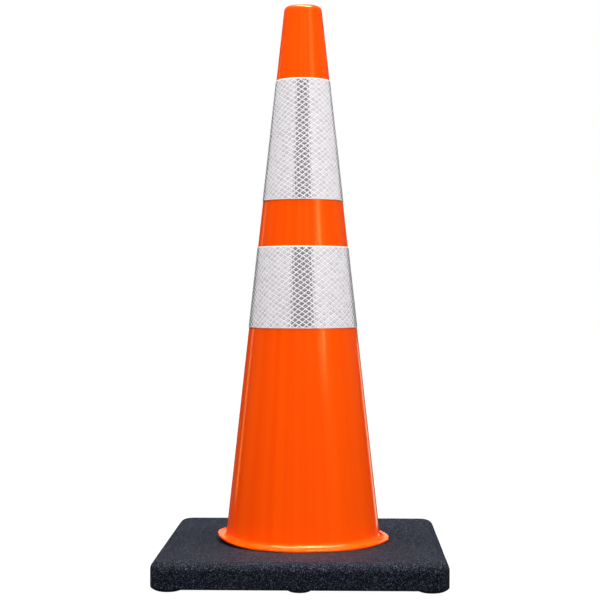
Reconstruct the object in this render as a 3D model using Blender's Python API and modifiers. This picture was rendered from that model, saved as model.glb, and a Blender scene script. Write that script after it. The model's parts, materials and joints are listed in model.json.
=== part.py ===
"""A 28 inch traffic cone: a moulded PVC cone, a heavy square base that grips its foot, and two
reflective collars that slip on over the top.

The frame is in metres with +Z up. The origin is on the ground at the middle of the base, whose
sides lie along X and Y.
"""

import math

import bmesh
import bpy
from mathutils import Matrix, Vector

# Driving dimensions, in metres.
HEIGHT = 0.7112
GROUND_RADIUS = 0.1022  # where the cone's outside would meet the ground
TAPER = 0.1109  # how much the radius shrinks for each metre of height
WALL = 0.0026
GAP = 0.0003  # between any two pieces
STEPS = 72  # flats round every turned surface, so that neighbours share their facets
TOLERANCE = 0.000001
SMOOTH_ANGLE = 30  # degrees, above which an edge stays sharp

# The mouth at the top of the cone.
MOUTH_RADIUS = 0.0150
MOUTH_EDGE = 0.0008
MOUTH_EDGE_STEPS = 3
CROWN_THICKNESS = 0.0035
CROWN_ROUND = 0.0055
CROWN_ROUND_STEPS = 6
CROWN_INNER_ROUND = 0.0025
CROWN_INNER_STEPS = 4

# The square base and its feet.
BASE_SIDE = 0.350
BASE_TOP = 0.0361
BASE_UNDERSIDE = 0.0041
BASE_CORNER = 0.020
BASE_CORNER_STEPS = 6
BASE_TOP_ROUND = 0.0105
BASE_TOP_STEPS = 5
BASE_LOWER_ROUND = 0.0015
BASE_LOWER_STEPS = 2
CORNER_FOOT_RADIUS = 0.0190
SIDE_FOOT_RADIUS = 0.0170
FOOT_INSET = 0.002  # from the base's side to a foot's root
FOOT_FLAT = 0.6  # the share of a foot's radius that is flat on the ground
FOOT_ROOT = 0.004  # how far a foot's root is sunk in the base
FOOT_STEPS = 24
FOOT_DOME_STEPS = 4

# The flange that shows on top of the base, and the lip that holds the base from below.
FLANGE_RADIUS = 0.1090
FLANGE_TOP = 0.0388
FLANGE_SEAT = 0.0008  # depth of the base's shallow seat for the flange
FLANGE_ROUND = 0.0012
FLANGE_ROUND_STEPS = 4
FLANGE_FILLET = 0.0085
FLANGE_FILLET_STEPS = 5
LIP_RADIUS = 0.1060
LIP_TOP = 0.0116
LIP_THICKNESS = 0.0030
KEY_COUNT = 4  # keys on the cone's neck that stop it turning in the base
FIRST_KEY = 45  # degrees round from +X
KEY_WIDTH = 0.012
KEY_REACH = 0.1050
KEY_TOP = 0.0200

# Ribs inside the cone that stop a stack of cones from jamming.
RIB_COUNT = 6
FIRST_RIB = 30
RIB_WIDTH = 0.003
RIB_PROUD = 0.0010
RIB_LOW = 0.060
RIB_HIGH = 0.160

# The reflective collars: flat sheets rolled into cones, their ends lapped at the back.
COLLAR_THICKNESS = 0.0005
COLLARS = {"upper_collar": (0.4643, 0.1524), "lower_collar": (0.3044, 0.1016)}  # bottom, height
LAP_START = 90  # degrees round from +X, so the lap is at the back
LAP_ANGLE = 10
LAP_RISE = 15  # degrees over which the outer end climbs onto the inner one
LAP_GAP = 0.00015
LAP_LIFT = COLLAR_THICKNESS + LAP_GAP

# name: base colour, roughness, metallic
MATERIALS = {
    "orange_pvc": ((0.91, 0.105, 0.008), 0.28, 0.0),
    "black_base": ((0.022, 0.023, 0.027), 0.75, 0.0),
    "prismatic_sheeting": ((0.86, 0.86, 0.87), 0.30, 0.0),
}

WALL_ANGLE = math.atan(TAPER)
LEAN = 1 / math.cos(WALL_ANGLE)  # a distance square to the wall, measured along the radius


def outer_radius(z):
    """Outside radius of the cone at height z."""
    return GROUND_RADIUS - TAPER * z


def inner_radius(z):
    """Inside radius of the cone at height z."""
    return outer_radius(z) - WALL * LEAN


def arc(centre, radius, start, end, steps):
    """Points (radius, height) along an arc, with its angles in degrees."""
    turns = [math.radians(start + (end - start) * i / steps) for i in range(steps + 1)]
    return [(centre[0] + radius * math.cos(t), centre[1] + radius * math.sin(t)) for t in turns]


def clear_scene():
    for obj in list(bpy.data.objects):
        bpy.data.objects.remove(obj)


def new_collection(name):
    collection = bpy.data.collections.new(name)
    bpy.context.scene.collection.children.link(collection)
    return collection


def new_material(name):
    colour, roughness, metallic = MATERIALS[name]
    material = bpy.data.materials.new(name)
    material.use_nodes = True
    shader = material.node_tree.nodes["Principled BSDF"]
    shader.inputs["Base Color"].default_value = (*colour, 1)
    shader.inputs["Roughness"].default_value = roughness
    shader.inputs["Metallic"].default_value = metallic
    return material


def add_object(name, form, collection, material=None):
    """An object from a bmesh, which is freed."""
    mesh = bpy.data.meshes.new(name)
    form.to_mesh(mesh)
    form.free()
    obj = bpy.data.objects.new(name, mesh)
    collection.objects.link(obj)
    if material:
        mesh.materials.append(material)
    return obj


def add_helper(name, form, collection):
    """A shape that is cut from or joined to a piece, and isn't one itself."""
    helper = add_object(name, form, collection)
    helper.hide_render = True
    helper.display_type = "WIRE"
    return helper


def combine(obj, helper, operation):
    modifier = obj.modifiers.new(helper.name, "BOOLEAN")
    modifier.operation = operation
    modifier.object = helper
    modifier.solver = "EXACT"


def smooth(obj):
    obj.data.shade_smooth()
    obj.data.set_sharp_from_angle(angle=math.radians(SMOOTH_ANGLE))


def turn(obj):
    """Turns a closed profile in the XZ plane about Z."""
    screw = obj.modifiers.new("Turn", "SCREW")
    screw.axis = "Z"
    screw.angle = math.tau
    screw.steps = STEPS
    screw.render_steps = STEPS
    screw.use_merge_vertices = True
    screw.merge_threshold = 0.00001


def closed_profile(points):
    """A closed wire through (radius, height) points."""
    form = bmesh.new()
    corners = [form.verts.new((r, 0, z)) for r, z in points]
    for first, second in zip(corners, corners[1:] + corners[:1]):
        form.edges.new((first, second))
    return form


def add_box(form, size, place):
    """Adds a box of that size, centred and then carried by the matrix place."""
    bmesh.ops.create_cube(form, size=1, matrix=place @ Matrix.Diagonal((*size, 1)))


def truncated_cone(low_radius, high_radius, low, high):
    """A closed cone or cylinder about Z between two heights."""
    form = bmesh.new()
    bmesh.ops.create_cone(
        form,
        cap_ends=True,
        segments=STEPS,
        radius1=low_radius,
        radius2=high_radius,
        depth=high - low,
        matrix=Matrix.Translation((0, 0, (low + high) / 2)),
    )
    return form


def cone_profile():
    """The cone's section, down its outside and back up its inside."""
    lean_degrees = math.degrees(WALL_ANGLE)

    crown_z = HEIGHT - CROWN_ROUND
    crown_centre = (outer_radius(crown_z) - CROWN_ROUND * LEAN, crown_z)
    outside = arc(crown_centre, CROWN_ROUND, 90, lean_degrees, CROWN_ROUND_STEPS)

    fillet_z = FLANGE_TOP + FLANGE_FILLET
    fillet_centre = (outer_radius(fillet_z) + FLANGE_FILLET * LEAN, fillet_z)
    outside += arc(fillet_centre, FLANGE_FILLET, 180 + lean_degrees, 270, FLANGE_FILLET_STEPS)

    flange_bottom = BASE_TOP - FLANGE_SEAT + GAP
    rim_centre = (FLANGE_RADIUS - FLANGE_ROUND, FLANGE_TOP - FLANGE_ROUND)
    outside += arc(rim_centre, FLANGE_ROUND, 90, 0, FLANGE_ROUND_STEPS)
    outside += [(FLANGE_RADIUS, flange_bottom), (outer_radius(flange_bottom), flange_bottom)]

    lip_bottom = LIP_TOP - LIP_THICKNESS
    outside += [(outer_radius(LIP_TOP), LIP_TOP), (LIP_RADIUS, LIP_TOP), (LIP_RADIUS, lip_bottom)]

    ceiling = HEIGHT - CROWN_THICKNESS
    inner_z = ceiling - CROWN_INNER_ROUND
    inner_centre = (inner_radius(inner_z) - CROWN_INNER_ROUND * LEAN, inner_z)
    inside = [(inner_radius(lip_bottom), lip_bottom)]
    inside += arc(inner_centre, CROWN_INNER_ROUND, lean_degrees, 90, CROWN_INNER_STEPS)

    mouth_centre = (MOUTH_RADIUS + MOUTH_EDGE, HEIGHT - MOUTH_EDGE)
    mouth = [(MOUTH_RADIUS, ceiling)]
    mouth += arc(mouth_centre, MOUTH_EDGE, 180, 90, MOUTH_EDGE_STEPS)
    return outside + inside + mouth


def round_the_axis(count, first):
    """Turns about Z that share out count places evenly, the first one at that many degrees."""
    return [Matrix.Rotation(math.radians(first + 360 * i / count), 4, "Z") for i in range(count)]


def key_boxes(clearance):
    """The keys on the foot of the cone that stop it turning in its base, each grown by clearance."""
    form = bmesh.new()
    inner_end = inner_radius(KEY_TOP) + WALL / 2
    bottom = LIP_TOP - LIP_THICKNESS / 2
    size = (
        KEY_REACH + clearance - inner_end,
        KEY_WIDTH + 2 * clearance,
        KEY_TOP + clearance - bottom,
    )
    middle = Vector(((KEY_REACH + clearance + inner_end) / 2, 0, (KEY_TOP + clearance + bottom) / 2))
    for place in round_the_axis(KEY_COUNT, FIRST_KEY):
        add_box(form, size, place @ Matrix.Translation(middle))
    return form


def rib_boxes():
    """Ribs that stand off the cone's inside, leaning with its wall."""
    form = bmesh.new()
    middle_z = (RIB_LOW + RIB_HIGH) / 2
    root = WALL / 2
    depth = RIB_PROUD + root
    middle = Vector((inner_radius(middle_z) + root - depth / 2, 0, middle_z))
    lean = Matrix.Rotation(-WALL_ANGLE, 4, "Y")
    for place in round_the_axis(RIB_COUNT, FIRST_RIB):
        box_place = place @ Matrix.Translation(middle) @ lean
        add_box(form, (depth, RIB_WIDTH, RIB_HIGH - RIB_LOW), box_place)
    return form


def make_cone(pieces, helpers):
    cone = add_object("cone_body", closed_profile(cone_profile()), pieces, new_material("orange_pvc"))
    turn(cone)
    combine(cone, add_helper("keys", key_boxes(0), helpers), "UNION")
    combine(cone, add_helper("stacking_ribs", rib_boxes(), helpers), "UNION")


def bevel(form, radius, steps, chosen):
    """Rounds the edges for which chosen(edge) is true."""
    edges = [edge for edge in form.edges if chosen(edge)]
    bmesh.ops.bevel(form, geom=edges, offset=radius, segments=steps, profile=0.5, affect="EDGES")


def at_height(z):
    """A test for edges that lie flat at height z."""
    return lambda edge: all(abs(vert.co.z - z) < TOLERANCE for vert in edge.verts)


def is_upright(edge):
    first, second = (vert.co for vert in edge.verts)
    return abs(first.z - second.z) > TOLERANCE


def rounded_slab():
    form = bmesh.new()
    thickness = BASE_TOP - BASE_UNDERSIDE
    middle = Vector((0, 0, (BASE_TOP + BASE_UNDERSIDE) / 2))
    add_box(form, (BASE_SIDE, BASE_SIDE, thickness), Matrix.Translation(middle))
    bevel(form, BASE_CORNER, BASE_CORNER_STEPS, is_upright)
    bevel(form, BASE_TOP_ROUND, BASE_TOP_STEPS, at_height(BASE_TOP))
    bevel(form, BASE_LOWER_ROUND, BASE_LOWER_STEPS, at_height(BASE_UNDERSIDE))
    return form


def foot_places():
    """The middle and radius of each foot: one in each corner and one halfway along each side."""
    edge = BASE_SIDE / 2 - FOOT_INSET
    corner = edge - CORNER_FOOT_RADIUS
    side = edge - SIDE_FOOT_RADIUS
    corners = [(x, y, CORNER_FOOT_RADIUS) for x in (-corner, corner) for y in (-corner, corner)]
    sides = [(side * x, side * y, SIDE_FOOT_RADIUS) for x, y in ((1, 0), (0, 1), (-1, 0), (0, -1))]
    return corners + sides


def foot_section(radius):
    """A foot's section (radius, height): its buried root, then its dome down to its flat."""
    flat = FOOT_FLAT * radius
    section = [(radius, BASE_UNDERSIDE + FOOT_ROOT)]
    for i in range(FOOT_DOME_STEPS + 1):
        angle = math.radians(90 * i / FOOT_DOME_STEPS)
        reach = flat + (radius - flat) * math.cos(angle)
        section.append((reach, BASE_UNDERSIDE * (1 - math.sin(angle))))
    return section


def feet():
    """All the feet, each its section spun about its own middle and closed at both ends."""
    form = bmesh.new()
    for x, y, radius in foot_places():
        section = [form.verts.new((x + reach, y, z)) for reach, z in foot_section(radius)]
        edges = [form.edges.new(pair) for pair in zip(section, section[1:])]
        bmesh.ops.spin(
            form,
            geom=section + edges,
            cent=(x, y, 0),
            axis=(0, 0, 1),
            angle=math.tau,
            steps=FOOT_STEPS,
            use_merge=True,
        )
    bmesh.ops.remove_doubles(form, verts=form.verts, dist=TOLERANCE)
    bmesh.ops.holes_fill(form, edges=[edge for edge in form.edges if edge.is_boundary])
    bmesh.ops.recalc_face_normals(form, faces=form.faces)
    return form


def make_base(pieces, helpers):
    base = add_object("base", rounded_slab(), pieces, new_material("black_base"))
    smooth(base)
    combine(base, add_helper("feet", feet(), helpers), "UNION")

    over = 0.002  # how far a cutter runs past the face that it opens
    seat_floor = BASE_TOP - FLANGE_SEAT
    recess_roof = LIP_TOP + GAP
    cutters = {
        "flange_seat": truncated_cone(
            FLANGE_RADIUS + GAP, FLANGE_RADIUS + GAP, seat_floor, BASE_TOP + over
        ),
        "bore": truncated_cone(
            outer_radius(BASE_UNDERSIDE - over) + GAP,
            outer_radius(BASE_TOP) + GAP,
            BASE_UNDERSIDE - over,
            BASE_TOP,
        ),
        "lip_recess": truncated_cone(
            LIP_RADIUS + 2 * GAP, LIP_RADIUS + 2 * GAP, BASE_UNDERSIDE - over, recess_roof
        ),
        "key_slots": key_boxes(GAP),
    }
    for name, form in cutters.items():
        combine(base, add_helper(name, form, helpers), "DIFFERENCE")


def lap_lift(degrees):
    """How far the sheet stands off where its outer end climbs onto its inner end."""
    share = (degrees - (LAP_START + 360 - LAP_RISE)) / LAP_RISE
    share = min(1.0, max(0.0, share))
    return LAP_LIFT * share * share * (3 - 2 * share)


def make_collar(name, pieces, material):
    """A collar: a grid one unit square, rolled round the cone and thickened outwards."""
    bottom, height = COLLARS[name]
    facet = 360 / STEPS
    columns = round((360 + LAP_ANGLE) / facet)
    form = bmesh.new()
    bmesh.ops.create_grid(form, x_segments=columns, y_segments=1, size=0.5)
    for vert in form.verts:
        degrees = LAP_START + (vert.co.x + 0.5) * columns * facet
        z = bottom + (vert.co.y + 0.5) * height
        radius = outer_radius(z) + GAP + lap_lift(degrees)
        angle = math.radians(degrees)
        vert.co = (radius * math.cos(angle), radius * math.sin(angle), z)
    collar = add_object(name, form, pieces, material)
    smooth(collar)
    solidify = collar.modifiers.new("Thickness", "SOLIDIFY")
    solidify.thickness = COLLAR_THICKNESS
    solidify.offset = 1


def main():
    clear_scene()
    pieces = new_collection("traffic_cone")
    helpers = new_collection("helpers")
    make_cone(pieces, helpers)
    make_base(pieces, helpers)
    sheeting = new_material("prismatic_sheeting")
    for name in COLLARS:
        make_collar(name, pieces, sheeting)


main()
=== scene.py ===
"""The looks of the traffic cone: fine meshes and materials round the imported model, and a studio.

Everything is in metres with +Z up. Angles round the cone are counted from +X, anticlockwise from
above, so 270 degrees is the front, 180 is the left as the camera sees it, and 90 is the back.
"""

import json
import math

import bmesh
import bpy
import numpy as np
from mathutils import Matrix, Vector, noise


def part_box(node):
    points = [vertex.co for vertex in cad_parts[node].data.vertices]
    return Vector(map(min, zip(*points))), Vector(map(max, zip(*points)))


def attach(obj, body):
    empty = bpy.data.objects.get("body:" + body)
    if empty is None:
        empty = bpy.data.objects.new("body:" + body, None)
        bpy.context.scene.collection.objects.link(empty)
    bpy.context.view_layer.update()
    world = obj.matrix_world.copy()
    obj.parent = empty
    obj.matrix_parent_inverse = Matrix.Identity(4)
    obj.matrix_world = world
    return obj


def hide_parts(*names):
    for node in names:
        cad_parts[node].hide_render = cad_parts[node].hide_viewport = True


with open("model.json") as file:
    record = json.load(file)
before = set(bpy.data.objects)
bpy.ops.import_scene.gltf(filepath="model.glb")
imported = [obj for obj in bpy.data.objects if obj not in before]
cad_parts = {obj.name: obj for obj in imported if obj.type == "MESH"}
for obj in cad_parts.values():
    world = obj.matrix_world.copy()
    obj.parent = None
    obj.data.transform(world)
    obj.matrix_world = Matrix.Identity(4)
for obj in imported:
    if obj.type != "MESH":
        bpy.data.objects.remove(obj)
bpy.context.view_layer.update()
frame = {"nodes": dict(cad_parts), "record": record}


# ---------------------------------------------------------------------------------------------
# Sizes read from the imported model
# ---------------------------------------------------------------------------------------------

def cad_radius(node, z):
    """How far out a CAD node reaches along +X at height z."""
    _, place, _, _ = frame["nodes"][node].ray_cast((1, 0, z), (-1, 0, 0))
    return place.x


CONE_BOTTOM, CONE_TOP = (corner.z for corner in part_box("cone_body"))
FLANGE_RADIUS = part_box("cone_body")[1].x
BASE_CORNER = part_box("base")[1]
HALF_SIDE = BASE_CORNER.x
DECK = BASE_CORNER.z

SAMPLE_LOW, SAMPLE_HIGH = 0.1, 0.6  # two heights at which the cone's wall is straight
TAPER = (cad_radius("cone_body", SAMPLE_LOW) - cad_radius("cone_body", SAMPLE_HIGH)) / (
    SAMPLE_HIGH - SAMPLE_LOW
)
GROUND_RADIUS = cad_radius("cone_body", SAMPLE_LOW) + TAPER * SAMPLE_LOW
WALL_ANGLE = math.atan(TAPER)
LEAN = 1 / math.cos(WALL_ANGLE)  # a distance square to the wall, measured along the radius
GAP = 0.0003  # between any two pieces


def wall_radius(z):
    """Outside radius of the cone's straight wall at height z, for numbers or arrays."""
    return GROUND_RADIUS - TAPER * z


# ---------------------------------------------------------------------------------------------
# Mesh helpers
# ---------------------------------------------------------------------------------------------

def new_mesh_object(name, mesh):
    """A smooth-shaded object of the mesh, in the scene."""
    obj = bpy.data.objects.new(name, mesh)
    bpy.context.scene.collection.objects.link(obj)
    mesh.shade_smooth()
    return obj


def ring_body(name, points):
    """A closed body from rings of points (rows, columns, 3): both the rows and the columns join up."""
    rows, columns, _ = points.shape
    index = np.arange(rows * columns).reshape(rows, columns)
    right = np.roll(index, -1, axis=1)
    below = np.roll(index, -1, axis=0)
    corner = np.roll(below, -1, axis=1)
    quads = np.stack([index, right, corner, below], axis=-1).reshape(-1, 4)
    mesh = bpy.data.meshes.new(name)
    mesh.from_pydata(points.reshape(-1, 3).tolist(), [], quads.tolist())
    form = bmesh.new()
    form.from_mesh(mesh)
    if form.calc_volume(signed=True) < 0:
        bmesh.ops.reverse_faces(form, faces=form.faces)
    form.to_mesh(mesh)
    form.free()
    return new_mesh_object(name, mesh)


def arc(centre, radius, start, end, steps):
    """Points (radius, height) along an arc, with its angles in degrees."""
    turns = [math.radians(start + (end - start) * i / steps) for i in range(steps + 1)]
    return [(centre[0] + radius * math.cos(t), centre[1] + radius * math.sin(t)) for t in turns]


def run(start, end, spacing):
    """Points from start to end along a straight line, start left out."""
    length = math.dist(start, end)
    steps = max(1, round(length / spacing))
    return [
        (start[0] + (end[0] - start[0]) * i / steps, start[1] + (end[1] - start[1]) * i / steps)
        for i in range(1, steps + 1)
    ]


def ripple(seed, angles, waves):
    """A sum of cosines round a circle: waves is a list of (how many go round, size)."""
    random = np.random.default_rng(seed)
    total = np.zeros_like(angles)
    for count, size in waves:
        total = total + size * np.cos(count * angles + random.uniform(0, math.tau))
    return total


def smoothstep(low, high, value):
    """0 below low, 1 above high and a smooth rise between them."""
    share = np.clip((value - low) / (high - low), 0, 1)
    return share * share * (3 - 2 * share)


def soft_bump(angles, centre, width):
    """1 at the centre angle and falling away smoothly over the width, all in degrees."""
    away = (np.degrees(angles) - centre + 180) % 360 - 180
    return np.exp(-((away / width) ** 2))


# ---------------------------------------------------------------------------------------------
# The orange cone
# ---------------------------------------------------------------------------------------------

WALL = 0.0026
CROWN_ROUND = 0.0055
CROWN_THICKNESS = 0.0035
CROWN_INNER_ROUND = 0.0025
MOUTH_RADIUS = 0.0150
MOUTH_EDGE = 0.0008
FLANGE_THICKNESS = 0.0027
FLANGE_EDGE = 0.0012
FLANGE_FILLET = 0.0085
LIP_RADIUS = 0.1060
LIP_THICKNESS = 0.0030
LIP_EDGE = 0.0008

# The stacking ribs, inside the cone.
RIB_COUNT = 6
FIRST_RIB = 30  # degrees round from +X
RIB_WIDTH = 0.003
RIB_PROUD = 0.0010
RIB_LOW, RIB_HIGH = 0.060, 0.160
RIB_END = 0.004  # length over which a rib dies away at its ends

# How fine the cone's mesh is: how many points round it, along its arcs and along its lines.
CONE_COLUMNS = 276
CROWN_STEPS = 12
CROWN_INNER_STEPS = 6
FILLET_STEPS = 14
FLANGE_EDGE_STEPS = 6
LIP_EDGE_STEPS = 4
MOUTH_LOWER_STEPS, MOUTH_UPPER_STEPS = 4, 5
WALL_SPACING = 0.005
FLANGE_SPACING = 0.002
NECK_SPACING = 0.006
CROWN_SPACING = 0.0008

# The unevenness of the moulding; waves are given by (how many go round, size).
DRAW_LINES = [(7, 2.2e-5), (13, 2.4e-5), (29, 1.5e-5), (47, 1.0e-5), (71, 0.7e-5)]
DRAW_DRIFT = [(5, 2.0e-5), (17, 1.2e-5)]
DRIFT_TWIST = 2.5  # radians by which the drift turns in a metre of height
OUT_OF_ROUND, OUT_OF_ROUND_TURN = 7e-5, 0.6  # size, and radians by which it is turned
FLANGE_WAVE = [(3, 1.2e-4), (5, 1.5e-4), (9, 0.8e-4)]
FLANGE_OUTLINE = [(2, 3e-4), (7, 2e-4), (19, 1e-4)]
FLANGE_BEND = 0.8  # the power with which the flange's lift grows towards its edge
CURL_LIFT = 0.0066  # the flange's left side has sprung up off the base
CURL_PLACE = 182
CURL_WIDTH = 36
CURL_PULL = 0.22  # how far the curl draws the edge in, as a share of its lift

# The heights over which the unevenness of the wall and of the flange sets in, and dies away.
WALL_SETS_IN = (DECK + 0.004, DECK + 0.03)
WALL_DIES_AWAY = (CONE_TOP - 0.012, CONE_TOP)
FLANGE_SETS_IN = (DECK - 0.004, DECK - 0.001)
FLANGE_DIES_AWAY = (DECK + 0.016, DECK + 0.03)


def inner_radius(z):
    """Inside radius of the cone's straight wall at height z."""
    return wall_radius(z) - WALL * LEAN


def cone_section():
    """The cone's closed section: down the outside, under the lip, and up the inside."""
    lean = math.degrees(WALL_ANGLE)
    flange_top = DECK + FLANGE_THICKNESS

    crown_z = CONE_TOP - CROWN_ROUND
    crown = (wall_radius(crown_z) - CROWN_ROUND * LEAN, crown_z)
    points = arc(crown, CROWN_ROUND, 90, lean, CROWN_STEPS)

    fillet_z = flange_top + FLANGE_FILLET
    fillet = (wall_radius(fillet_z) + FLANGE_FILLET * LEAN, fillet_z)
    curve = arc(fillet, FLANGE_FILLET, 180 + lean, 270, FILLET_STEPS)
    points += run(points[-1], curve[0], WALL_SPACING) + curve[1:]

    under = flange_top - FLANGE_THICKNESS - GAP
    edge_top = (FLANGE_RADIUS - FLANGE_EDGE, flange_top - FLANGE_EDGE)
    edge_bottom = (FLANGE_RADIUS - FLANGE_EDGE, under + FLANGE_EDGE)
    points += arc(edge_top, FLANGE_EDGE, 90, 0, FLANGE_EDGE_STEPS)
    points += arc(edge_bottom, FLANGE_EDGE, 0, -90, FLANGE_EDGE_STEPS)
    points += run(points[-1], (wall_radius(under), under), FLANGE_SPACING)

    lip_bottom = CONE_BOTTOM
    lip_top = lip_bottom + LIP_THICKNESS
    points += run(points[-1], (wall_radius(lip_top), lip_top), NECK_SPACING)
    lip = LIP_RADIUS - LIP_EDGE
    foot = inner_radius(lip_bottom) + LIP_EDGE
    points += arc((lip, lip_top - LIP_EDGE), LIP_EDGE, 90, 0, LIP_EDGE_STEPS)
    points += arc((lip, lip_bottom + LIP_EDGE), LIP_EDGE, 0, -90, LIP_EDGE_STEPS)
    points += arc((foot, lip_bottom + LIP_EDGE), LIP_EDGE, 270, 180, LIP_EDGE_STEPS)

    ceiling = CONE_TOP - CROWN_THICKNESS
    vault_z = ceiling - CROWN_INNER_ROUND
    vault = (inner_radius(vault_z) - CROWN_INNER_ROUND * LEAN, vault_z)
    curve = arc(vault, CROWN_INNER_ROUND, lean, 90, CROWN_INNER_STEPS)
    points += run(points[-1], curve[0], WALL_SPACING) + curve[1:]

    mouth = MOUTH_RADIUS + MOUTH_EDGE
    points += arc((mouth, ceiling + MOUTH_EDGE), MOUTH_EDGE, 270, 180, MOUTH_LOWER_STEPS)
    points += arc((mouth, CONE_TOP - MOUTH_EDGE), MOUTH_EDGE, 180, 90, MOUTH_UPPER_STEPS)
    return np.array(points[:-1] + run(points[-1], points[0], CROWN_SPACING)[:-1])


def rib_height(angle, z):
    """How far the stacking ribs stand off the inside wall."""
    pitch = math.tau / RIB_COUNT
    turn = (angle - math.radians(FIRST_RIB) + pitch / 2) % pitch - pitch / 2
    across = 1 - smoothstep(RIB_WIDTH / 2, RIB_WIDTH, np.abs(turn) * inner_radius(z))
    start = smoothstep(RIB_LOW, RIB_LOW + RIB_END, z)
    end = 1 - smoothstep(RIB_HIGH - RIB_END, RIB_HIGH, z)
    return RIB_PROUD * across * (start * end)


def make_cone():
    """The cone: its section turned round the axis and made a little uneven."""
    section = cone_section()
    radius = section[:, 0][:, None]
    height = section[:, 1][:, None]
    angle = np.linspace(0, math.tau, CONE_COLUMNS, endpoint=False)[None, :]

    # The wall: draw lines from the mould, and a little out of round.
    lines = ripple(3, angle, DRAW_LINES)
    drift = ripple(5, angle + DRIFT_TWIST * height, DRAW_DRIFT)
    out_of_round = OUT_OF_ROUND * np.cos(2 * angle + OUT_OF_ROUND_TURN)
    on_wall = smoothstep(*WALL_SETS_IN, height) * (1 - smoothstep(*WALL_DIES_AWAY, height))
    new_radius = radius + on_wall * (lines + drift + out_of_round)

    # The flange: its left side curls up, and its edge waves a little all round.
    root = wall_radius(DECK)
    reach = np.clip((radius - root) / (FLANGE_RADIUS - root), 0, 1) ** FLANGE_BEND
    on_flange = smoothstep(*FLANGE_SETS_IN, height) * (1 - smoothstep(*FLANGE_DIES_AWAY, height))
    curl = CURL_LIFT * soft_bump(angle, CURL_PLACE, CURL_WIDTH)
    wave = np.abs(ripple(11, angle, FLANGE_WAVE))
    new_height = height + on_flange * reach * (curl + wave)
    new_radius = new_radius - on_flange * reach * curl * CURL_PULL
    new_radius = new_radius + on_flange * reach * ripple(17, angle, FLANGE_OUTLINE)

    # The stacking ribs, on the inside wall only.
    inside = radius < wall_radius(height) - WALL / 2
    new_radius = new_radius - np.where(inside, rib_height(angle, height), 0)

    points = np.stack(
        [
            new_radius * np.cos(angle),
            new_radius * np.sin(angle),
            new_height + np.zeros_like(angle),
        ],
        axis=-1,
    )
    return ring_body("cone", points)


# ---------------------------------------------------------------------------------------------
# The black base
# ---------------------------------------------------------------------------------------------

UNDERSIDE = 0.0041
CORNER = 0.020
TOP_ROUND = 0.0105
LOWER_ROUND = 0.0015
SEAT_DEPTH = 0.0008  # of the shallow seat for the flange
SEAT_EDGE = 0.0004
EDGE_MIDDLE = 0.3  # how deep the middle of a small rounded edge lies, as a share of its radius
CORNER_FOOT = 0.0205
SIDE_FOOT = 0.0170
FOOT_INSET = 0.0006
FOOT_FLAT = 0.55  # the share of a foot's radius that is flat on the ground
FOOT_POWER = 1.8  # how roundly a foot rises from its flat to the underside
FOOT_ZONE = 0.042  # how far in from the sides the feet reach

# The unevenness of the rubber.
TOP_SWELL = 1.6e-4
SIDE_SWELL = 2.0e-4
SWELL_WAVES = ((22, 0.6), (75, 0.4))  # (how many in a metre, share)
FLAT_SEAT, UNEVEN_DECK = 0.110, 0.118  # radii between which the unevenness of the deck sets in

# How fine the base's mesh is: how many points round it and how many steps across each part.
BASE_COLUMNS = 720
HOLE_ROWS = 6
SEAT_ROWS = (0.103, 0.107)
DECK_STEPS = 33
TOP_ROUND_STEPS = 12
SIDE_STEPS = 10
LOWER_ROUND_STEPS = 4
FOOT_STEPS = 30
UNDERSIDE_STEPS = 13


def square_outline(inset, count):
    """Points spaced evenly round a square with rounded corners, from the middle of its +X side."""
    half = HALF_SIDE - inset
    corner = max(CORNER - inset, 1e-4)
    side = 2 * (half - corner)
    stretch = side + corner * math.pi / 2
    points = []
    for i in range(count):
        along = (4 * stretch * i / count + side / 2) % (4 * stretch)
        quarter = int(along // stretch)
        along -= quarter * stretch
        if along < side:
            x, y = half, along - side / 2
        else:
            angle = (along - side) / corner
            x = half - corner + corner * math.cos(angle)
            y = half - corner + corner * math.sin(angle)
        turned = math.radians(90 * quarter)
        points.append(
            (x * math.cos(turned) - y * math.sin(turned), x * math.sin(turned) + y * math.cos(turned))
        )
    return np.array(points)


def level_row(plan, z):
    """A row of points at one height, from their plan."""
    return np.column_stack([plan, np.full(len(plan), z)])


def circle_row(directions, radius, z):
    """A row round a circle, with a point in each of the directions."""
    return level_row(directions * radius, z)


def between(first, second, steps):
    """Evenly spaced rows that lead from the first row to the second, the first left out."""
    return [first + (second - first) * share for share in np.linspace(0, 1, steps + 1)[1:]]


def quarter_turn(steps):
    """Angles up to a right angle, zero left out."""
    return np.radians(np.linspace(0, 90, steps + 1)[1:])


def foot_depth(x, y):
    """How much of the way down to the ground the underside comes at a point, from 0 to 1."""
    edge = HALF_SIDE - FOOT_INSET
    depth = np.zeros_like(x)
    corner = edge - CORNER_FOOT
    side = edge - SIDE_FOOT
    feet = [(cx, cy, CORNER_FOOT) for cx in (-corner, corner) for cy in (-corner, corner)]
    feet += [(cx, cy, SIDE_FOOT) for cx, cy in ((side, 0), (0, side), (-side, 0), (0, -side))]
    for cx, cy, radius in feet:
        out = np.hypot(x - cx, y - cy) / radius
        share = np.clip((out - FOOT_FLAT) / (1 - FOOT_FLAT), 0, 1)
        depth = np.maximum(depth, 1 - share**FOOT_POWER)
    return depth


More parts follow.
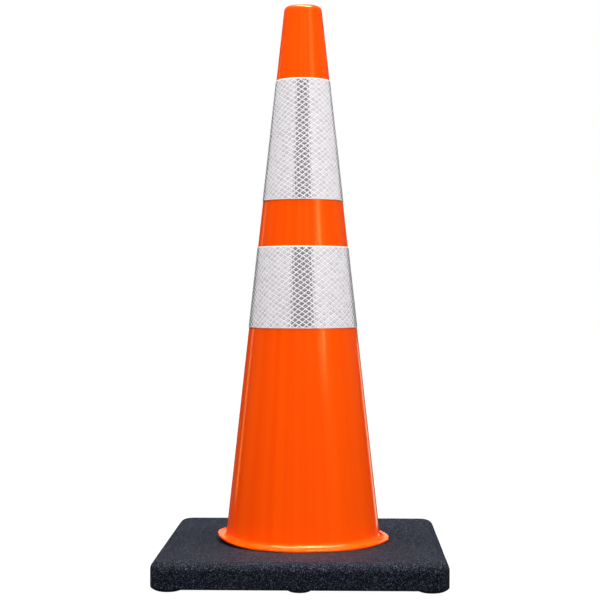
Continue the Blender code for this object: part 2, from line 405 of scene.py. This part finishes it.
def make_base():
    """The base: rows of points from the hole, over the deck, down the side and in underneath."""
    outline = square_outline(0, BASE_COLUMNS)
    directions = outline / np.linalg.norm(outline, axis=1)[:, None]
    recess_roof = CONE_BOTTOM + LIP_THICKNESS + GAP
    recess = LIP_RADIUS + 2 * GAP
    seat = FLANGE_RADIUS + GAP
    seat_floor = DECK - SEAT_DEPTH

    rows = [
        circle_row(directions, wall_radius(z) + GAP, z)
        for z in np.linspace(recess_roof, seat_floor, HOLE_ROWS)
    ]
    rows += [circle_row(directions, radius, seat_floor) for radius in (*SEAT_ROWS, seat)]
    rows.append(circle_row(directions, seat, DECK - SEAT_EDGE))
    rounding = SEAT_EDGE * EDGE_MIDDLE
    rows.append(circle_row(directions, seat + rounding, DECK - rounding))
    rows.append(circle_row(directions, seat + SEAT_EDGE, DECK))

    deck_edge = level_row(square_outline(TOP_ROUND, BASE_COLUMNS), DECK)
    rows += between(rows[-1], deck_edge, DECK_STEPS)
    for angle in quarter_turn(TOP_ROUND_STEPS):
        inset = TOP_ROUND * (1 - math.sin(angle))
        drop = TOP_ROUND * (1 - math.cos(angle))
        rows.append(level_row(square_outline(inset, BASE_COLUMNS), DECK - drop))
    lower_edge = level_row(outline, UNDERSIDE + LOWER_ROUND)
    rows += between(rows[-1], lower_edge, SIDE_STEPS)
    for angle in quarter_turn(LOWER_ROUND_STEPS):
        inset = LOWER_ROUND * (1 - math.cos(angle))
        drop = LOWER_ROUND * math.sin(angle)
        plan = square_outline(inset, BASE_COLUMNS)
        rows.append(level_row(plan, UNDERSIDE + LOWER_ROUND - drop))

    foot_edge = level_row(square_outline(LOWER_ROUND + FOOT_ZONE, BASE_COLUMNS), UNDERSIDE)
    rows += between(rows[-1], foot_edge, FOOT_STEPS)
    recess_edge = circle_row(directions, recess + SEAT_EDGE, UNDERSIDE)
    rows += between(rows[-1], recess_edge, UNDERSIDE_STEPS)
    rows.append(circle_row(directions, recess, UNDERSIDE + SEAT_EDGE))
    rows.append(circle_row(directions, recess, recess_roof))
    rows.append(circle_row(directions, (recess + wall_radius(recess_roof)) / 2, recess_roof))

    points = np.array(rows)
    x, y, z = points[..., 0], points[..., 1], points[..., 2]
    low = z < UNDERSIDE + 1e-6
    z[low] = (UNDERSIDE * (1 - foot_depth(x, y)))[low]
    settle(points)
    return ring_body("weighted_base", points)


def settle(points):
    """Moulded rubber isn't quite flat: a slow unevenness, none of it outside the base's own box."""
    x, y, z = points[..., 0], points[..., 1], points[..., 2]
    on_top = z > DECK - TOP_ROUND
    outside = np.maximum(np.abs(x), np.abs(y)) > HALF_SIDE - TOP_ROUND
    middle = (z > UNDERSIDE + 1e-4) & outside
    swell = np.zeros(x.shape)
    for place in zip(*np.nonzero(on_top | middle)):
        where = Vector((x[place], y[place], z[place]))
        swell[place] = sum(noise.noise(where * count) * share for count, share in SWELL_WAVES)
    on_deck = smoothstep(FLAT_SEAT, UNEVEN_DECK, np.hypot(x, y))
    z -= np.where(on_top, (swell + 1) * TOP_SWELL * on_deck, 0)
    shrink = 1 - np.where(middle, (swell + 1) * SIDE_SWELL / HALF_SIDE, 0)
    x *= shrink
    y *= shrink


# ---------------------------------------------------------------------------------------------
# The reflective collars
# ---------------------------------------------------------------------------------------------

SHEET = 0.00035
EMBOSS = 0.00005  # how far a cell stands proud of its seal
LAP_LIFT = 0.00065  # how far the outer end stands off the inner one
LAP_START, LAP_ANGLE, LAP_RISE = 90, 10, 15  # degrees
CELL_WIDTH, CELL_HEIGHT = 0.00915, 0.00655  # the diamonds of the seal
CELL_TILT = math.radians(2.56)
LINE = 0.09  # half a seal line, as a share of a cell's side
RIM = 0.15  # from the edge of a cell to its paler middle
BORDER = 0.0012  # the plain sealed edge
OUTLINE_SAMPLES = 60  # points along the sheet's edges, to find how many cells it takes
TONE_COUNT, TONE_ROW = 4096, 61  # the tones dealt out to the cells, and how far apart two rows start
SLACK = [(3, 3e-5), (8, 2e-5), (21, 1.2e-5)]  # the sheet isn't quite round: (how many, size)
SLACK_ALONG = 60  # radians a metre by which that changes down the sheet
SEAL, CELL_RIM, CELL_MIDDLE, BACKING = range(4)

SHEET_MIDDLE = math.radians(LAP_START + (360 + LAP_ANGLE) / 2)
HALF_TURN = math.radians((360 + LAP_ANGLE) / 2)
APEX = GROUND_RADIUS / TAPER
SLOPE_SIN, SLOPE_COS = math.sin(WALL_ANGLE), math.cos(WALL_ANGLE)


def slant(z):
    """Distance down the cone from its apex to height z."""
    return (APEX - z) / SLOPE_COS


def flat_to_cell(x, y):
    """Diamond coordinates of points on the flat sheet."""
    turned_x = x * math.cos(CELL_TILT) + y * math.sin(CELL_TILT)
    turned_y = y * math.cos(CELL_TILT) - x * math.sin(CELL_TILT)
    return (
        turned_x / CELL_WIDTH + turned_y / CELL_HEIGHT,
        turned_x / CELL_WIDTH - turned_y / CELL_HEIGHT,
    )


def cell_to_flat(p, q):
    """Points on the flat sheet from their diamond coordinates."""
    turned_x = (p + q) * CELL_WIDTH / 2
    turned_y = (p - q) * CELL_HEIGHT / 2
    return (
        turned_x * math.cos(CELL_TILT) - turned_y * math.sin(CELL_TILT),
        turned_y * math.cos(CELL_TILT) + turned_x * math.sin(CELL_TILT),
    )


def flat_to_sheet(x, y):
    """(turn round the cone from the sheet's middle, distance from the apex) of flat points."""
    return np.arctan2(x, -y) / SLOPE_SIN, np.hypot(x, y)


def sheet_to_flat(turn, distance):
    """Flat points from their turn round the cone and their distance from the apex."""
    return distance * np.sin(turn * SLOPE_SIN), -distance * np.cos(turn * SLOPE_SIN)


def share_of_cell(value):
    """Distance to the nearest seal line, where 0.5 is the middle of a cell."""
    within = value % 1
    return np.minimum(within, 1 - within)


def diamond_grid(near, far):
    """A mesh of diamonds that covers the sheet, in (turn, distance) coordinates."""
    turns = np.linspace(-HALF_TURN, HALF_TURN, OUTLINE_SAMPLES)
    edge_x, edge_y = sheet_to_flat(np.tile(turns, 2), np.repeat([near, far], OUTLINE_SAMPLES))
    p, q = flat_to_cell(edge_x, edge_y)
    steps = np.array([LINE, RIM, 0.5, 1 - RIM, 1 - LINE])
    lines = [
        (np.arange(math.floor(v.min()) - 1, math.ceil(v.max()) + 1)[:, None] + steps).ravel()
        for v in (p, q)
    ]
    grid_p, grid_q = np.meshgrid(*lines, indexing="ij")
    turn, distance = flat_to_sheet(*cell_to_flat(grid_p, grid_q))
    margin = 2 * CELL_WIDTH / (far * SLOPE_SIN)
    kept = np.abs(turn) < HALF_TURN + margin
    kept &= (distance > near - CELL_WIDTH) & (distance < far + CELL_WIDTH)
    number = np.full(kept.shape, -1)
    number[kept] = np.arange(kept.sum())
    quads = np.stack([number[:-1, :-1], number[1:, :-1], number[1:, 1:], number[:-1, 1:]], axis=-1)
    quads = quads.reshape(-1, 4)
    quads = quads[(quads >= 0).all(axis=1)]
    corners = np.column_stack([turn[kept], distance[kept], np.zeros(kept.sum())])
    return corners, quads


def cut(form, axis, place, keep_side=0):
    """Cuts the flat grid along a line; keep_side 1 or -1 clears the other side."""
    direction = Vector((1, 0, 0)) if axis == 0 else Vector((0, 1, 0))
    bmesh.ops.bisect_plane(
        form,
        geom=form.verts[:] + form.edges[:] + form.faces[:],
        dist=1e-7,
        plane_co=direction * place,
        plane_no=direction,
        clear_inner=keep_side > 0,
        clear_outer=keep_side < 0,
    )


def in_border(turn, distance, near, far):
    """Whether a place on the sheet is in the plain edge that runs all round it."""
    ends = (HALF_TURN - np.abs(turn)) * distance * SLOPE_SIN
    return (distance < near + BORDER) | (distance > far - BORDER) | (ends < BORDER)


def lap_lift(turn):
    """How far the sheet's outer end is lifted, so that it lies on the inner one."""
    lap = math.tau - HALF_TURN
    return LAP_LIFT * smoothstep(lap - math.radians(LAP_RISE), lap, turn)


def make_collar(name, node, seed):
    """A collar: a flat sheet of sealed diamonds, cut to size, rolled into a cone and thickened."""
    low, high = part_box(node)
    near, far = slant(high.z), slant(low.z)
    corners, quads = diamond_grid(near, far)
    mesh = bpy.data.meshes.new(name)
    mesh.from_pydata(corners.tolist(), [], quads.tolist())
    form = bmesh.new()
    form.from_mesh(mesh)
    end_border = BORDER / (far * SLOPE_SIN)
    cut(form, 0, -HALF_TURN, 1)
    cut(form, 0, HALF_TURN, -1)
    cut(form, 0, -HALF_TURN + end_border)
    cut(form, 0, HALF_TURN - end_border)
    cut(form, 1, near, 1)
    cut(form, 1, far, -1)
    cut(form, 1, near + BORDER)
    cut(form, 1, far - BORDER)

    tones = np.random.default_rng(seed).uniform(0, 1, TONE_COUNT)
    tone_layer = form.faces.layers.float.new("tone")
    for face in form.faces:
        turn, distance, _ = face.calc_center_median()
        p, q = flat_to_cell(*sheet_to_flat(turn, distance))
        depth = min(share_of_cell(p), share_of_cell(q))
        sealed = depth < LINE or in_border(turn, distance, near, far)
        cell = CELL_RIM if depth < RIM else CELL_MIDDLE
        face.material_index = SEAL if sealed else cell
        face[tone_layer] = tones[(math.floor(p) * TONE_ROW + math.floor(q)) % TONE_COUNT]
    roll_up(form, near, far, seed)
    form.to_mesh(mesh)
    form.free()
    collar = new_mesh_object(name, mesh)
    thicken = collar.modifiers.new("Thickness", "SOLIDIFY")
    thicken.thickness = SHEET
    thicken.offset = -1
    thicken.material_offset = BACKING
    thicken.material_offset_rim = BACKING
    return collar


def roll_up(form, near, far, seed):
    """Moves the flat grid's corners to the cone, with the cells standing proud of their seal."""
    flat = np.array([vert.co for vert in form.verts])
    turn, distance = flat[:, 0], flat[:, 1]
    p, q = flat_to_cell(*sheet_to_flat(turn, distance))
    depth = np.minimum(share_of_cell(p), share_of_cell(q))
    raised = smoothstep(LINE * 0.98, RIM, depth) * ~in_border(turn, distance, near, far)
    slack = ripple(seed, turn, SLACK) * np.cos(distance * SLACK_ALONG + seed)
    z = APEX - distance * SLOPE_COS
    radius = wall_radius(z) + GAP + SHEET + lap_lift(turn) + EMBOSS * raised + slack
    angle = SHEET_MIDDLE + turn
    placed = np.column_stack([radius * np.cos(angle), radius * np.sin(angle), z])
    for vert, place in zip(form.verts, placed):
        vert.co = place
    form.normal_update()
    face = next(iter(form.faces))
    if face.normal.dot(face.calc_center_median()) < 0:
        bmesh.ops.reverse_faces(form, faces=form.faces)


# ---------------------------------------------------------------------------------------------
# Materials
# ---------------------------------------------------------------------------------------------

class Nodes:
    """A node tree under construction. Values are numbers or other nodes' outputs."""

    def __init__(self, tree):
        self.tree = tree

    def link(self, source, target):
        self.tree.links.new(source, target)

    def feed(self, socket, value):
        if isinstance(value, bpy.types.NodeSocket):
            self.link(value, socket)
        else:
            socket.default_value = value

    def add(self, kind, **inputs):
        """A node with its inputs given by their sockets' names."""
        made = self.tree.nodes.new(kind)
        for name, value in inputs.items():
            self.feed(made.inputs[name.replace("_", " ")], value)
        return made

    def maths(self, operation, *values):
        made = self.tree.nodes.new("ShaderNodeMath")
        made.operation = operation
        for socket, value in zip(made.inputs, values):
            self.feed(socket, value)
        return made.outputs[0]

    def spread(self, value, low, high, to_low=0.0, to_high=1.0, curve="LINEAR"):
        """Maps a value from one range to another, held at both ends."""
        made = self.add("ShaderNodeMapRange", Value=value)
        made.interpolation_type = curve
        ends = {"From Min": low, "From Max": high, "To Min": to_low, "To Max": to_high}
        for name, number in ends.items():
            made.inputs[name].default_value = number
        return made.outputs["Result"]


class Shader(Nodes):
    """A node material under construction."""

    def __init__(self, name):
        self.material = bpy.data.materials.new(name)
        self.material.use_nodes = True
        super().__init__(self.material.node_tree)
        self.surface = self.tree.nodes["Principled BSDF"]
        self.place = self.tree.nodes.new("ShaderNodeTexCoord").outputs["Object"]

    def set(self, **inputs):
        """Feeds the surface's own sockets."""
        for name, value in inputs.items():
            self.feed(self.surface.inputs[name.replace("_", " ")], value)

    def stretched(self, x, y, z):
        """Object coordinates with each axis scaled."""
        mapping = self.add("ShaderNodeMapping", Vector=self.place)
        mapping.inputs["Scale"].default_value = (x, y, z)
        return mapping.outputs["Vector"]

    def round_the_axis(self, around, along):
        """Coordinates that turn with the angle round the axis and change slowly along it."""
        outward = self.tree.nodes.new("ShaderNodeVectorMath")
        outward.operation = "NORMALIZE"
        self.link(self.stretched(1, 1, 0), outward.inputs[0])
        turned = self.tree.nodes.new("ShaderNodeVectorMath")
        turned.operation = "MULTIPLY_ADD"
        self.link(outward.outputs[0], turned.inputs[0])
        turned.inputs[1].default_value = (around, around, 0)
        self.link(self.stretched(0, 0, along), turned.inputs[2])
        return turned.outputs[0]

    def noise(self, scale, detail=2.0, roughness=0.5, vector=None):
        made = self.add("ShaderNodeTexNoise", Scale=scale, Detail=detail, Roughness=roughness)
        self.link(vector or self.place, made.inputs["Vector"])
        return made.outputs["Fac"]

    def mix(self, share, first, second):
        """A colour between two others."""
        made = self.tree.nodes.new("ShaderNodeMix")
        made.data_type = "RGBA"
        self.feed(made.inputs["Factor"], share)
        for socket, value in zip([s for s in made.inputs if s.type == "RGBA"], (first, second)):
            self.feed(socket, value)
        return [s for s in made.outputs if s.type == "RGBA"][0]

    def bump(self, height, distance, strength, under=None):
        """A bumped normal, laid over the one under it."""
        made = self.add("ShaderNodeBump", Height=height, Distance=distance, Strength=strength)
        if under:
            self.link(under, made.inputs["Normal"])
        return made.outputs["Normal"]


def orange_pvc():
    """Glossy fluorescent PVC: faint mottling, flow lines that run up the wall, and orange peel."""
    shader = Shader("orange_pvc")
    mottle = shader.spread(shader.noise(9, 3), 0.35, 0.65)
    flow = shader.noise(1, 1, vector=shader.round_the_axis(7, 0.7))
    bands = shader.maths("MULTIPLY", shader.spread(flow, 0.30, 0.70), 0.8)
    spots = shader.maths("MULTIPLY", mottle, 0.2)
    bands = shader.maths("ADD", bands, spots)
    colour = shader.mix(bands, (0.640, 0.047, 0.0008, 1), (0.668, 0.062, 0.0015, 1))
    peel = shader.noise(700, 1)
    normal = shader.bump(flow, 0.00012, 0.5)
    normal = shader.bump(peel, 0.00002, 0.5, normal)
    shader.set(
        Base_Color=colour,
        Roughness=shader.spread(flow, 0.3, 0.7, 0.09, 0.16),
        Normal=normal,
    )
    shader.surface.inputs["Specular IOR Level"].default_value = 0.02
    shader.surface.inputs["Specular Tint"].default_value = (1.0, 0.8, 0.2, 1)
    return shader.material


def black_rubber():
    """Moulded rubber: black and pebbled all over, with painted glints: the pebbles' tops are painted a
    paler bluish grey in place of the light they catch.
    """
    shader = Shader("black_base")
    cells = shader.add("ShaderNodeTexVoronoi", Vector=shader.place, Scale=700.0)
    leather = shader.noise(430, 3, 0.7)
    coarse = shader.noise(760, 2, 0.6)
    fine = shader.noise(1500, 2)
    patches = shader.noise(200, 2)
    pebble = shader.spread(cells.outputs["Distance"], 0.10, 0.62, 1.0, 0.0)
    # Painted highlight: where each pebble's top is painted paler, in place of the glint of light on it,
    # broken up by the coarse and leather grain.
    glint_share = shader.maths("MULTIPLY", pebble, shader.spread(coarse, 0.38, 0.60))
    glint_share = shader.maths("MULTIPLY", glint_share, shader.spread(leather, 0.36, 0.64, 0.35, 1.5))
    patch = shader.spread(patches, 0.35, 0.65)
    # The colour of the painted glints on the pebble tops, brighter or dimmer in random patches.
    glint_colour = shader.mix(patch, (0.030, 0.037, 0.058, 1), (0.112, 0.130, 0.184, 1))
    normal = shader.bump(leather, 0.0016, 0.8)
    normal = shader.bump(coarse, 0.0010, 0.8, normal)
    normal = shader.bump(pebble, 0.0007, 0.8, normal)
    normal = shader.bump(fine, 0.00012, 0.5, normal)
    shader.set(
        Base_Color=shader.mix(glint_share, (0.0018, 0.0025, 0.0048, 1), glint_colour),
        Roughness=shader.spread(coarse, 0.3, 0.7, 0.66, 0.50),
        Normal=normal,
    )
    shader.surface.inputs["Specular IOR Level"].default_value = 0.08
    return shader.material


def seal_white():
    """The fused white net and edges of the sheeting."""
    shader = Shader("sheeting_seal")
    mottle = shader.noise(300, 3)
    shader.set(
        Base_Color=shader.mix(mottle, (0.585, 0.560, 0.580, 1), (0.645, 0.620, 0.640, 1)),
        Roughness=shader.spread(mottle, 0.3, 0.7, 0.28, 0.42),
        Normal=shader.bump(shader.noise(900, 2), 0.00004, 0.5),
    )
    return shader.material


def prism_cell(name, pale, dark, metallic):
    """A cell of micro-prisms: each has its own tone, and mirrors what is in front of it."""
    shader = Shader(name)
    tone = shader.tree.nodes.new("ShaderNodeAttribute")
    tone.attribute_name = "tone"
    rows = shader.noise(1, 0, vector=shader.stretched(2600, 2600, 2600))
    shader.set(
        Base_Color=shader.mix(tone.outputs["Fac"], pale, dark),
        Roughness=shader.spread(tone.outputs["Fac"], 0, 1, 0.11, 0.17),
        Normal=shader.bump(rows, 0.00002, 0.4),
    )
    shader.surface.inputs["Metallic"].default_value = metallic
    return shader.material


def backing_white():
    """The plain vinyl back of the sheeting."""
    shader = Shader("sheeting_back")
    weave = shader.noise(1200, 2)
    shader.set(
        Base_Color=shader.mix(weave, (0.70, 0.70, 0.69, 1), (0.78, 0.78, 0.77, 1)),
        Roughness=0.55,
        Normal=shader.bump(weave, 0.00005, 0.4),
    )
    return shader.material


# ---------------------------------------------------------------------------------------------
# Studio
# ---------------------------------------------------------------------------------------------

CAMERA_DISTANCE = 1.852
CAMERA_HEIGHT = 0.347
CAMERA_TURN = 1.52  # degrees round from the front
CAMERA_LENS = 87.35
AIM_HEIGHT = 0.3389
AIM_SIDE = -0.0038


def make_camera():
    """The camera, fitted to the photograph's view."""
    turn = math.radians(CAMERA_TURN)
    toward = Vector((math.sin(turn), -math.cos(turn), 0))
    across = Vector((math.cos(turn), math.sin(turn), 0))
    data = bpy.data.cameras.new("camera")
    data.lens = CAMERA_LENS
    data.clip_start, data.clip_end = 0.05, 50
    camera = bpy.data.objects.new("camera", data)
    bpy.context.scene.collection.objects.link(camera)
    camera.location = toward * CAMERA_DISTANCE + Vector((0, 0, CAMERA_HEIGHT))
    aim = across * AIM_SIDE + Vector((0, 0, AIM_HEIGHT))
    camera.rotation_mode = "QUATERNION"
    camera.rotation_quaternion = (aim - camera.location).to_track_quat("-Z", "Y")
    bpy.context.scene.camera = camera


def make_floor():
    """A plain pale floor that is seen from above only."""
    form = bmesh.new()
    bmesh.ops.create_circle(form, cap_ends=True, segments=96, radius=9)
    mesh = bpy.data.meshes.new("floor")
    form.to_mesh(mesh)
    form.free()
    floor = bpy.data.objects.new("floor", mesh)
    bpy.context.scene.collection.objects.link(floor)
    shader = Shader("floor")
    shader.set(Base_Color=(0, 0, 0, 1), Emission_Color=(1, 1, 1, 1), Emission_Strength=1.0)
    clear = shader.tree.nodes.new("ShaderNodeBsdfTransparent")
    blend = shader.tree.nodes.new("ShaderNodeMixShader")
    shader.link(shader.tree.nodes.new("ShaderNodeNewGeometry").outputs["Backfacing"], blend.inputs[0])
    shader.link(shader.surface.outputs[0], blend.inputs[1])
    shader.link(clear.outputs[0], blend.inputs[2])
    shader.link(blend.outputs[0], shader.tree.nodes["Material Output"].inputs["Surface"])
    mesh.materials.append(shader.material)
    floor.visible_diffuse = False
    floor.visible_glossy = False
    floor.visible_shadow = False


def soft_light(
    name, azimuth, elevation, distance, size, power, glossy=True, only=None, colour=(1, 1, 1)
):
    """A softbox that faces the cone. Azimuth 0 is in front of it and 90 on its right.

    A light for one collection only makes a highlight on its pieces, and doesn't light them otherwise.
    """
    data = bpy.data.lights.new(name, "AREA")
    data.shape = "RECTANGLE"
    data.size, data.size_y = size
    data.energy = power
    data.color = colour
    light = bpy.data.objects.new(name, data)
    bpy.context.scene.collection.objects.link(light)
    turn, rise = math.radians(azimuth), math.radians(elevation)
    toward = Vector((math.sin(turn) * math.cos(rise), -math.cos(turn) * math.cos(rise), math.sin(rise)))
    middle = Vector((0, 0, CONE_TOP / 2))
    light.location = middle + toward * distance
    light.rotation_mode = "QUATERNION"
    light.rotation_quaternion = (-toward).to_track_quat("-Z", "Y")
    light.visible_camera = False
    light.visible_glossy = glossy
    if only:
        light.light_linking.receiver_collection = only
        light.visible_diffuse = False


# The room: panels of light at eye level, given by (azimuth, half width, brightness), on dark walls.
ROOM_DARK = 0.05
ROOM_SOFTNESS = 8  # degrees over which a panel fades at its sides
ROOM_PANELS = (
    (83, 59, 0.64),
    (-82, 58, 0.53),
    (180, 15, 0.20),
)
ROOM_ABOVE = 0.35
ROOM_BELOW = 0.12

# Where the room's parts begin and end, as sines of the elevation.
PANEL_FOOT = (-0.02, 0.07)
PANEL_TOP = (0.45, 0.62)
ABOVE = (0.55, 0.8)
BELOW = (-0.1, 0.0)


def make_world():
    """A backdrop that is white to the eye, and a room of soft panels that lights the cone."""
    world = bpy.data.worlds.new("studio")
    bpy.context.scene.world = world
    world.use_nodes = True
    nodes = Nodes(world.node_tree)

    def ramp(value, ends, low, high):
        return nodes.spread(value, *ends, low, high, curve="SMOOTHSTEP")

    split = nodes.tree.nodes.new("ShaderNodeSeparateXYZ")
    nodes.link(nodes.tree.nodes.new("ShaderNodeTexCoord").outputs["Generated"], split.inputs[0])
    x, y, z = split.outputs
    front = nodes.maths("MULTIPLY", y, -1.0)
    azimuth = nodes.maths("MULTIPLY", nodes.maths("ARCTAN2", x, front), math.degrees(1))

    room = 0.0
    for place, half, brightness in ROOM_PANELS:
        away = nodes.maths("WRAP", nodes.maths("SUBTRACT", azimuth, place), 180.0, -180.0)
        edge = half - ROOM_SOFTNESS / 2
        panel = ramp(nodes.maths("ABSOLUTE", away), (edge, edge + ROOM_SOFTNESS), brightness, 0.0)
        room = nodes.maths("ADD", room, panel)
    room = nodes.maths("MULTIPLY", room, ramp(z, PANEL_TOP, 1.0, 0.0))
    room = nodes.maths("MULTIPLY", room, ramp(z, PANEL_FOOT, 0.0, 1.0))
    room = nodes.maths("ADD", room, ROOM_DARK)
    room = nodes.maths("ADD", room, ramp(z, ABOVE, 0.0, ROOM_ABOVE))
    room = nodes.maths("ADD", room, ramp(z, BELOW, ROOM_BELOW, 0.0))

    camera_ray = nodes.tree.nodes.new("ShaderNodeLightPath").outputs["Is Camera Ray"]
    background = nodes.tree.nodes["Background"]
    nodes.link(nodes.maths("MAXIMUM", room, camera_ray), background.inputs["Strength"])
    background.inputs["Color"].default_value = (1, 1, 1, 1)


def make_studio():
    """The floor, the room, the camera, and lights by azimuth, elevation, distance, size, power."""
    make_floor()
    make_world()
    soft_light("key", 4, 22, 2.4, (1.4, 1.1), 70, glossy=False)
    soft_light("top", 0, 90, 3.2, (3.6, 0.8), 260)
    soft_light("top_strip", 0, 90, 3.1, (2.8, 0.2), 80)
    soft_light("back_left", -150, 20, 2.4, (1.0, 1.0), 16, glossy=False)
    soft_light("back_right", 150, 20, 2.4, (1.0, 1.0), 16, glossy=False)

    # Highlights on the glossy cone, which the collars and the base don't mirror.
    cone_only = bpy.data.collections.new("cone_only")
    cone_only.objects.link(bpy.data.objects["cone"])
    soft_light("streak", 43, 13, 2.4, (0.09, 0.5), 39, only=cone_only)
    soft_light("streak_wide", 41, 23, 2.4, (0.8, 1.42), 140, only=cone_only)
    soft_light("flange_strip", 0, 84, 3.0, (5.0, 0.5), 6600, only=cone_only)
    soft_light("flange_line", 18, 58, 3.0, (1.6, 0.35), 3500, only=cone_only)
    soft_light("flange_ends", 180, 2, 2.4, (0.9, 0.35), 1.6, only=cone_only, colour=(1, 0.8, 0.5))
    soft_light("edge_right", 151, -9, 2.4, (0.34, 0.72), 4.2, only=cone_only, colour=(1, 0.72, 0.5))
    soft_light("edge_left", -129, 6, 2.4, (0.15, 1.3), 7, only=cone_only, colour=(1, 0.55, 0.15))

    make_camera()
    scene = bpy.context.scene
    scene.view_settings.view_transform = "Standard"
    scene.view_settings.look = "None"


# ---------------------------------------------------------------------------------------------
# Assembly
# ---------------------------------------------------------------------------------------------

def finish_piece(piece, node, materials):
    """Gives a piece its materials and its body, and hides the CAD node that it stands for."""
    for material in materials:
        piece.data.materials.append(material)
    body = next(name for name, nodes in frame["record"]["behaviour"]["bodies"].items() if node in nodes)
    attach(piece, body)
    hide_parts(node)


def main():
    finish_piece(make_cone(), "cone_body", [orange_pvc()])
    finish_piece(make_base(), "base", [black_rubber()])
    rim = prism_cell("sheeting_cell_rim", (0.74, 0.71, 0.74, 1), (0.60, 0.58, 0.60, 1), 0.84)
    middle = prism_cell("sheeting_cell", (0.95, 0.92, 0.95, 1), (0.82, 0.79, 0.82, 1), 0.84)
    sheeting = [seal_white(), rim, middle] + [backing_white()] * 3
    for seed, name in ((2, "upper_collar"), (4, "lower_collar")):
        finish_piece(make_collar(name + "_sheeting", name, seed), name, sheeting)
    make_studio()


main()
